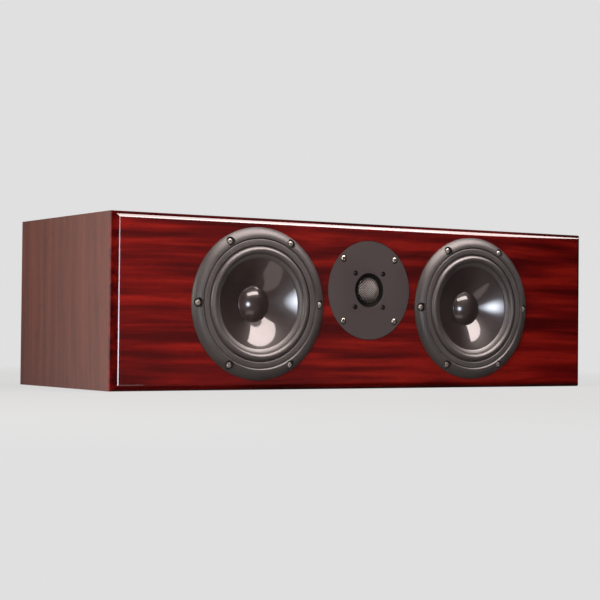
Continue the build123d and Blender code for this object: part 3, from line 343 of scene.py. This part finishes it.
def bow(start, end, rise, count):  # arc from start to end in a half-section, bulging to its left by rise
    (x0, y0), (x1, y1) = start, end
    span = math.hypot(x1 - x0, y1 - y0)
    radius = (span * span / 4 + rise * rise) / (2 * rise)
    midX, midY = (x0 + x1) / 2, (y0 + y1) / 2
    acrossX, acrossY = -(y1 - y0) / span, (x1 - x0) / span
    centreX = midX + acrossX * (rise - radius)
    centreY = midY + acrossY * (rise - radius)
    first = math.atan2(y0 - centreY, x0 - centreX)
    last = math.atan2(y1 - centreY, x1 - centreX)
    sweep = (last - first + math.pi) % (2 * math.pi) - math.pi
    return [(centreX + abs(radius) * math.cos(first + sweep * i / count),
             centreY + abs(radius) * math.sin(first + sweep * i / count)) for i in range(count + 1)]


def lathe(name, x, z, profile, segments=160):  # a circle extruded ring by ring along (radius, depth) in mm
    bpy.ops.object.select_all(action="DESELECT")
    radius, depth = profile[0]
    bpy.ops.mesh.primitive_circle_add(vertices=segments, radius=radius * mm, fill_type="NOTHING",
                                      rotation=(math.radians(90), 0, 0),
                                      location=(x * mm, (frontFace + depth) * mm, z * mm))
    piece = bpy.context.object
    piece.name = name
    bpy.ops.object.transform_apply(location=True, rotation=True, scale=True)
    bpy.ops.object.mode_set(mode="EDIT")
    bpy.ops.mesh.select_all(action="SELECT")
    for nextRadius, nextDepth in profile[1:]:
        bpy.ops.mesh.extrude_region_move(TRANSFORM_OT_translate={"value": (0, (nextDepth - depth) * mm, 0)})
        share = nextRadius / radius
        bpy.ops.transform.resize(value=(share, 1, share), center_override=(x * mm, 0, z * mm))
        radius, depth = nextRadius, nextDepth
    bpy.ops.mesh.select_all(action="SELECT")
    bpy.ops.mesh.remove_doubles(threshold=mergeGap * mm)
    bpy.ops.mesh.normals_make_consistent(inside=False)
    bpy.ops.object.mode_set(mode="OBJECT")
    bpy.ops.object.shade_smooth_by_angle(angle=math.radians(35))
    return piece


def finishPiece(piece, mat, slot, *replaced):
    piece.data.materials.clear()
    piece.data.materials.append(mat)
    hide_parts(*replaced)


# Woofer cones, dust caps, surrounds and gaskets
woofer = {  # mm, depths behind the baffle's face
    "coneEdge": 50.6, "coneEdgeDepth": -3.1, "neck": 16.5, "neckDepth": 11.5,
    "coneFlare": 0.83, "coneWall": 1.0,
    "capRadius": 18.8, "capLip": 1.4, "capRise": 5.6, "capWall": 0.5, "capFoot": 10.1,
    "rollOuter": 59.5, "rollInner": 51.3, "rollCrest": -7.4, "rollFoot": -4.4, "skin": 0.7,
    "ledge": -2.4, "lipInner": 46.8, "lipDepth": -2.9,
    "gasketOuter": 66.8, "gasketInner": 60.2, "gasketFront": -5.7, "gasketFoot": -3.1,
}


def coneProfile():
    w = woofer
    front = bow((w["coneEdge"], w["coneEdgeDepth"]), (w["neck"], w["neckDepth"]), w["coneFlare"], 24)
    back = [(r, d + w["coneWall"]) for r, d in reversed(front)]
    return front + back + front[:1]


def capProfile():
    w = woofer
    foot = w["capFoot"]
    face = foot - w["capWall"]
    rim = w["capRadius"]
    dome = rim - w["capLip"]
    sphere = (dome ** 2 + w["capRise"] ** 2) / (2 * w["capRise"])
    chord = math.hypot(dome, w["capRise"])
    sag = sphere - math.sqrt(sphere ** 2 - chord ** 2 / 4)
    nick = 0.15  # mm, the lip's rounded corner
    lip = [(rim, foot), (rim, face + nick), (rim - nick, face), (dome + 0.4, face), (dome + nick, face - 0.05)]
    return lip + bow((dome, face - nick), (0.0, face - w["capRise"]), sag, 28)


def surroundProfile():
    w = woofer
    foot = w["ledge"] - w["skin"]
    rise = -w["rollCrest"] + (foot + w["rollFoot"]) / 2
    roll = bow((w["rollOuter"], foot), (w["rollInner"], w["rollFoot"]), rise, 20)
    under = bow((w["rollOuter"] - w["skin"], w["ledge"]),
                (w["rollInner"] + w["skin"], w["rollFoot"] + w["skin"]), rise - 0.1, 20)
    lip = [(w["rollInner"] - 0.5, w["rollFoot"] + 0.05), (w["lipInner"] + 0.3, w["lipDepth"]),
           (w["lipInner"], w["lipDepth"] + 0.25), (w["lipInner"], w["lipDepth"] + w["skin"])]
    outer = [(w["gasketOuter"], w["ledge"]), (w["gasketOuter"], foot)]
    return outer + roll + lip + list(reversed(under)) + outer[:1]


def gasketProfile():
    w = woofer
    inner, outer, front, foot = w["gasketInner"], w["gasketOuter"], w["gasketFront"], w["gasketFoot"]
    inset, drop, bulge = 0.9, 0.8, 0.2  # mm, the rounded rims
    outerRim = bow((outer, front + drop), (outer - inset, front), bulge, 5)
    innerRim = bow((inner + inset, front), (inner, front + drop), bulge, 5)
    return [(inner, foot), (outer, foot), (outer, front + drop)] + outerRim[1:] + innerRim + [(inner, foot)]


for side, sign in (("left", -1), ("right", 1)):
    x, z = sign * layout["across"], layout["height"]
    cone = lathe(f"{side}_woofer_cone_film", x, z, coneProfile(), 192)
    finishPiece(cone, coneFilm, "cone_polymer", f"{side}_woofer_cone")
    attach(cone, f"{side}_cone")
    cap = lathe(f"{side}_woofer_cap", x, z, capProfile(), 144)
    wall = cap.modifiers.new("wall", "SOLIDIFY")
    wall.thickness = woofer["capWall"] * mm
    bpy.ops.object.modifier_apply(modifier="wall")
    finishPiece(cap, coneFilm, "cone_polymer", f"{side}_woofer_dust_cap")
    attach(cap, f"{side}_cone")
    gasket = lathe(f"{side}_woofer_clamp_ring", x, z, gasketProfile())
    finishPiece(gasket, gasketRubber, "surround_rubber", f"{side}_woofer_gasket")
    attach(gasket, "cabinet")
    roll = lathe(f"{side}_woofer_roll", x, z, surroundProfile(), 192)
    finishPiece(roll, rollRubber, "surround_rubber", f"{side}_woofer_surround")
    middle = frontFace * mm
    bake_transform(roll, "cabinet", f"{side}_cone", start=((x + woofer["rollOuter"]) * mm, middle, z * mm),
             end=((x + woofer["rollInner"]) * mm, middle, z * mm))
    weights = roll.data.attributes["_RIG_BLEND"].data  # the roll gives along every radius, not along one line
    for vertex, weight in zip(roll.data.vertices, weights):
        reach = math.hypot(vertex.co.x / mm - x, vertex.co.z / mm - z)
        share = (woofer["rollOuter"] - reach) / (woofer["rollOuter"] - woofer["rollInner"])
        share = min(1.0, max(0.0, share))
        weight.value = share * share * (3 - 2 * share)
print("cones, caps, surrounds and gaskets done")


# Screws: button heads with a hexagon socket
def screwHead(name, radius, height, socket, sink):  # one head at the origin, facing -Y, its seat at y 0
    bpy.ops.object.select_all(action="DESELECT")
    bpy.ops.mesh.primitive_cylinder_add(vertices=40, radius=radius * mm, depth=height * mm,
                                        rotation=(math.radians(90), 0, 0), location=(0, -height * mm / 2, 0))
    head = bpy.context.object
    head.name = name
    bpy.ops.object.transform_apply(location=True, rotation=True, scale=True)
    bpy.ops.object.mode_set(mode="EDIT")
    bpy.ops.mesh.select_all(action="DESELECT")
    bpy.ops.object.mode_set(mode="OBJECT")
    for edge in head.data.edges:  # the front rim, which is rounded over
        ends = [head.data.vertices[i].co.y for i in edge.vertices]
        edge.select = max(ends) < -height * mm * 0.99
    bpy.ops.object.mode_set(mode="EDIT")
    bpy.ops.mesh.select_mode(type="EDGE")
    bpy.ops.mesh.bevel(offset=height * 0.55 * mm, segments=5, profile=0.5)
    bpy.ops.object.mode_set(mode="OBJECT")
    bpy.ops.object.select_all(action="DESELECT")
    bpy.ops.mesh.primitive_cylinder_add(vertices=6, radius=socket * mm, depth=2 * sink * mm,
                                        rotation=(math.radians(90), 0, 0), location=(0, -height * mm, 0))
    key = bpy.context.object
    cut = head.modifiers.new("socket", "BOOLEAN")
    cut.object = key
    bpy.context.view_layer.objects.active = head
    bpy.ops.object.modifier_apply(modifier="socket")
    bpy.data.objects.remove(key)
    return head


def screwSet(name, head, places, depth):  # copies of one head, joined into one piece
    copies = []
    for px, pz in places:
        copy = head.copy()
        copy.data = head.data.copy()
        bpy.context.collection.objects.link(copy)
        copy.data.transform(Matrix.Translation((px * mm, (frontFace + depth) * mm, pz * mm)))
        copies.append(copy)
    bpy.ops.object.select_all(action="DESELECT")
    for copy in copies:
        copy.select_set(True)
    bpy.context.view_layer.objects.active = copies[0]
    bpy.ops.object.join()
    joined = bpy.context.object
    joined.name = name
    bpy.ops.object.shade_smooth_by_angle(angle=math.radians(32))
    return joined


def onCircle(x, z, radius, count, start):
    return [(x + radius * math.cos(math.radians(start + 360 * i / count)),
             z + radius * math.sin(math.radians(start + 360 * i / count))) for i in range(count)]


screws = {  # circles and seats in mm, and a head's radius, height, socket and its depth in mm
    "wooferSeat": -1.4, "wooferHead": (3.1, 2.6, 1.2, 0.8),
    "mountCircle": 47.2, "mountSeat": 1.6, "mountHead": (3.3, 2.2, 1.5, 1.1),
    "plateCircle": 25.6, "plateSeat": 2.2, "plateHead": (1.5, 1.3, 0.55, 0.5),
}
head = screwHead("woofer_screw_head", *screws["wooferHead"])
for side, sign in (("left", -1), ("right", 1)):
    places = onCircle(sign * layout["across"], layout["height"], layout["screwCircle"],
                      layout["screwCount"], 0)
    heads = screwSet(f"{side}_woofer_screw_heads", head, places, screws["wooferSeat"])
    finishPiece(heads, screwSteel, "screw_steel", f"{side}_woofer_screws")
    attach(heads, "cabinet")
bpy.data.objects.remove(head)
for label, mat, slot, node in (("mount", nickelScrew, "screw_steel", "tweeter_mounting_screws"),
                               ("plate", blackSteel, "black_steel", "tweeter_plate_screws")):
    head = screwHead(f"{label}_head", *screws[f"{label}Head"])
    places = onCircle(0, layout["tweeterHeight"], screws[f"{label}Circle"], 4, 45)
    heads = screwSet(f"tweeter_{label}_screw_heads", head, places, screws[f"{label}Seat"])
    finishPiece(heads, mat, slot, node)
    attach(heads, "cabinet")
    bpy.data.objects.remove(head)
print("screws done")


# Tweeter guard: wires woven over and under each other, pressed into a dome
guard = {  # mm; the weave is coarser than a real one, so that it shows
    "radius": 13.7, "rise": 8.6, "seat": 2.5, "pitch": 1.7, "wire": 0.38, "lift": 0.36,
    "pressed": 0.45,  # share of the wires' lift that is left
}


def guardWires():
    height = layout["tweeterHeight"]
    sphere = (guard["radius"] ** 2 + guard["rise"] ** 2) / (2 * guard["rise"])
    bpy.ops.object.select_all(action="DESELECT")
    line = bpy.data.curves.new("tweeter_guard_wires", "CURVE")
    line.dimensions = "3D"
    line.bevel_depth = guard["wire"] * mm
    line.bevel_resolution = 1
    count = int(guard["radius"] / guard["pitch"])
    for direction in (0, 1):
        for i in range(-count, count + 1):
            offset = i * guard["pitch"]
            half = math.sqrt(max(0.0, guard["radius"] ** 2 - offset ** 2))
            steps = max(4, int(2 * half / (guard["pitch"] / 4)))
            spline = line.splines.new("POLY")
            spline.points.add(steps)
            for k in range(steps + 1):
                run = -half + 2 * half * k / steps
                u, v = (run, offset) if direction == 0 else (offset, run)
                phase = math.cos(math.pi * run / guard["pitch"]) * (1 if (i + direction) % 2 else -1)
                level = math.sqrt(sphere ** 2 - u * u - v * v) - (sphere - guard["rise"])
                reach = guard["seat"] - level - phase * guard["lift"]
                across, up = (u - v) / math.sqrt(2), (u + v) / math.sqrt(2)
                spline.points[k].co = (across * mm, (frontFace + reach) * mm, (height + up) * mm, 1)
    wires = bpy.data.objects.new("tweeter_guard_wires", line)
    bpy.context.collection.objects.link(wires)
    wires.select_set(True)
    bpy.context.view_layer.objects.active = wires
    bpy.ops.object.convert(target="MESH")
    centre = Vector((0, (frontFace + guard["seat"] + sphere - guard["rise"]) * mm, height * mm))
    for vertex in bpy.context.object.data.vertices:  # rolled flat, so that the whole dome takes the light
        out = vertex.co - centre
        vertex.co = centre + out.normalized() * (sphere * mm + (out.length - sphere * mm) * guard["pressed"])
    bpy.ops.object.shade_smooth()
    return bpy.context.object


wires = guardWires()
finishPiece(wires, meshSteel, "guard_mesh", "tweeter_guard")
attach(wires, "cabinet")
print("guard woven")


# Camera at the photograph's place, fitted to 600 by 600
view = {"place": (-1.0041, -1.5482, 0.0592), "yaw": 32.552, "pitch": 1.168, "roll": 0.582, "lens": 97.38}
yaw, pitch, roll = (math.radians(view[key]) for key in ("yaw", "pitch", "roll"))
ahead = Vector((math.sin(yaw) * math.cos(pitch), math.cos(yaw) * math.cos(pitch), math.sin(pitch)))
level = Vector((math.cos(yaw), -math.sin(yaw), 0))
upright = level.cross(ahead)
right = math.cos(roll) * level + math.sin(roll) * upright
upward = -math.sin(roll) * level + math.cos(roll) * upright
bpy.ops.object.camera_add()
camera = bpy.context.object
camera.data.lens = view["lens"]
camera.data.sensor_width = 36.0
camera.data.clip_start = 0.05
camera.matrix_world = Matrix((
    (right.x, upward.x, -ahead.x, view["place"][0]),
    (right.y, upward.y, -ahead.y, view["place"][1]),
    (right.z, upward.z, -ahead.z, view["place"][2]),
    (0, 0, 0, 1)))
bpy.context.scene.camera = camera

# Studio: pale backdrop and floor, a room for the gloss to mirror, softboxes
backdrop = "#e0e0e0"
ambient = 0.12  # the world's share of the light
studio = bpy.data.worlds.new("studio")
bpy.context.scene.world = studio
studio.use_nodes = True
studio.node_tree.nodes.clear()
path = addNode(studio, "ShaderNodeLightPath")
seen = addNode(studio, "ShaderNodeMath", {0: path.outputs["Is Camera Ray"], 1: path.outputs["Is Glossy Ray"]},
               operation="MAXIMUM").outputs[0]
seen = addNode(studio, "ShaderNodeMath", {0: seen, 1: path.outputs["Is Transmission Ray"]},
               operation="MAXIMUM").outputs[0]
pale = addNode(studio, "ShaderNodeBackground", {"Color": hexColour(backdrop), "Strength": 1.0}).outputs[0]
dim = addNode(studio, "ShaderNodeBackground", {"Color": hexColour("#ffffff"), "Strength": ambient}).outputs[0]
shown = addNode(studio, "ShaderNodeMixShader", {0: seen, 1: dim, 2: pale}).outputs[0]
addNode(studio, "ShaderNodeOutputWorld", {"Surface": shown})

paperSheet = {"colour": "#d2d2d2", "near": 0.35, "far": 1.1, "evenness": 0.85}  # distances in metres
bpy.ops.object.select_all(action="DESELECT")
bpy.ops.mesh.primitive_plane_add(size=60, location=(0, 0, -0.0002))  # just under the cabinet
floor = bpy.context.object
floor.name = "floor"
bpy.ops.object.transform_apply(location=True)
floorPaper = startMaterial("studio_paper")  # pale paper that keeps a soft shadow close to the cabinet
place = addNode(floorPaper, "ShaderNodeTexCoord").outputs["Object"]
away = addNode(floorPaper, "ShaderNodeVectorMath", {0: place}, operation="LENGTH").outputs["Value"]
near = addNode(floorPaper, "ShaderNodeMapRange", {
    "Value": away, "From Min": paperSheet["near"], "From Max": paperSheet["far"],
    "To Min": paperSheet["evenness"], "To Max": 1.0}, interpolation_type="SMOOTHSTEP").outputs[0]
path = addNode(floorPaper, "ShaderNodeLightPath")
glow = addNode(floorPaper, "ShaderNodeMath", {0: near, 1: path.outputs["Is Camera Ray"]},
               operation="MULTIPLY").outputs[0]
paper = addNode(floorPaper, "ShaderNodeBsdfDiffuse", {"Color": hexColour(paperSheet["colour"])}).outputs[0]
even = addNode(floorPaper, "ShaderNodeEmission", {"Color": hexColour(backdrop), "Strength": 1.0}).outputs[0]
shown = addNode(floorPaper, "ShaderNodeMixShader", {0: glow, 1: paper, 2: even}).outputs[0]
addNode(floorPaper, "ShaderNodeOutputMaterial", {"Surface": shown})
floor.data.materials.append(floorPaper)
floor.visible_glossy = False  # the lacquer mirrors the room, not the paper

# Room: what the gloss mirrors, dark but for a pale wall at the back left and a dim one at the front right
room = [  # share of a turn from straight ahead by the left, and the wall's colour there
    (0.0, "#242424"), (0.34, "#202020"), (0.39, "#e4e4e4"), (0.42, "#e4e4e4"), (0.433, "#7c7c7c"),
    (0.5, "#606060"), (0.6, "#303030"), (0.883, "#101010"), (0.905, "#585858"), (0.94, "#606060"),
    (1.0, "#242424"),
]
opening = {  # a window with a soft rim, opposite the cones; metres
    "place": (-0.72, -7.96, -0.1), "radius": 1.6, "brightness": 28.0, "colour": "#eaf1ff",
}
bpy.ops.object.select_all(action="DESELECT")
bpy.ops.mesh.primitive_uv_sphere_add(segments=64, ring_count=32, radius=8.0, location=(0, 0, 0))
walls = bpy.context.object
walls.name = "room"
roomPaint = startMaterial("room_paint")  # smooth glow that fills the reflections
place = addNode(roomPaint, "ShaderNodeTexCoord").outputs["Object"]
apart = addNode(roomPaint, "ShaderNodeSeparateXYZ", {"Vector": place})
angle = addNode(roomPaint, "ShaderNodeMath", {0: apart.outputs["X"], 1: apart.outputs["Y"]},
                operation="ARCTAN2").outputs[0]
share = addNode(roomPaint, "ShaderNodeMath", {0: angle, 1: 0.5 / math.pi, 2: 0.5},
                operation="MULTIPLY_ADD").outputs[0]
tone = addNode(roomPaint, "ShaderNodeValToRGB", {"Fac": share}, stops=room).outputs[0]
gap = addNode(roomPaint, "ShaderNodeVectorMath", {0: place, 1: opening["place"]},
              operation="DISTANCE").outputs["Value"]
soft = addNode(roomPaint, "ShaderNodeMapRange", {
    "Value": gap, "From Min": 0.0, "From Max": opening["radius"],
    "To Min": opening["brightness"], "To Max": 0.0}, interpolation_type="SMOOTHSTEP").outputs[0]
wall = addNode(roomPaint, "ShaderNodeEmission", {"Color": tone}).outputs[0]
window = addNode(roomPaint, "ShaderNodeEmission", {
    "Color": hexColour(opening["colour"]), "Strength": soft}).outputs[0]
addNode(roomPaint, "ShaderNodeOutputMaterial", {
    "Surface": addNode(roomPaint, "ShaderNodeAddShader", {0: wall, 1: window}).outputs[0]})
walls.data.materials.append(roomPaint)
walls.visible_camera = False
walls.visible_diffuse = False
walls.visible_shadow = False
walls.visible_transmission = False

lamps = {  # place and target in metres, upward axis, size in metres, brightness of the lamp's face, colour
    "left_softbox": ((-0.94, -0.76, 0.36), (-0.1, -0.11, 0.1), (0, 0, 1), (0.5, 0.4), 15.0, "#fff3ec"),
    "overhead_softbox": ((0.1, -0.2, 1.1), (-0.05, -0.11, 0.1), (0, 1, 0), (0.8, 0.5), 6.0, "#fff3ec"),
    "rear_softbox": ((0.5, 1.5, 0.9), (0.0, 0.11, 0.09), (0, 0, 1), (0.8, 0.8), 7.0, "#fff3ec"),
    "strip_softbox": ((0.583, -1.676, 1.478), (-0.05, -0.11, 0.1), (0, 0, 1), (1.9, 0.45), 14.5, "#ffeeea"),
    "edge_softbox": ((0.34, -0.71, 1.15), (0.0, -0.11, 0.17), (0, 1, 0), (1.6, 0.8), 17.0, "#ffeeea"),
    "side_softbox": ((-1.3, -0.46, 0.36), (0.0, -0.11, 0.1), (0, 0, 1), (0.5, 0.5), 12.0, "#fff3ec"),
    "table_glow": ((0.066, -1.37, -0.73), (0.0, -0.11, 0.09), (0, 0, 1), (0.8, 0.4), 1.25, "#fff0ea"),
}
surfaceLamps = ("left_softbox", "overhead_softbox", "rear_softbox")  # the others are only mirrored
for name, (place, target, upward, size, brightness, tint) in lamps.items():
    bpy.ops.object.light_add(type="AREA")
    lamp = bpy.context.object
    lamp.name = name
    backward = (Vector(place) - Vector(target)).normalized()
    sideways = Vector(upward).cross(backward).normalized()
    upward = backward.cross(sideways)
    lamp.matrix_world = Matrix((sideways, upward, backward)).transposed().to_4x4()
    lamp.location = place
    lamp.data.shape = "RECTANGLE"
    lamp.data.size, lamp.data.size_y = size
    lamp.data.energy = brightness * math.pi * size[0] * size[1]
    lamp.data.color = hexColour(tint)[:3]
    lamp.visible_camera = False
    lamp.visible_diffuse = name in surfaceLamps
    lamp.visible_glossy = not lamp.visible_diffuse
lacquer = ["front_baffle", "top_panel", "left_side_panel", "right_side_panel"]
satin = ["tweeter_mount_screw_heads", "tweeter_plate_screw_heads"] + [
    f"{side}_woofer_{part}" for side in ("left", "right")
    for part in ("frame", "clamp_ring", "roll", "screw_heads")]
rear = ["rear_panel", "left_port_tube", "right_port_tube", "terminal_cup", "terminal_cup_screws",
        "red_binding_post", "black_binding_post", "red_post_nut", "black_post_nut"]
lampReach = {  # these lamps light only the pieces named, which keeps them out of the cones
    "edge_softbox": lacquer + satin, "side_softbox": satin + ["tweeter_guard_wires"], "rear_softbox": rear,
}
for name, lit in lampReach.items():
    group = bpy.data.collections.new(f"{name}_reach")
    for label in lit:
        group.objects.link(nodes.get(label) or bpy.data.objects[label])
    bpy.data.objects[name].light_linking.receiver_collection = group
bpy.context.scene.view_settings.view_transform = "Standard"
print("studio done")
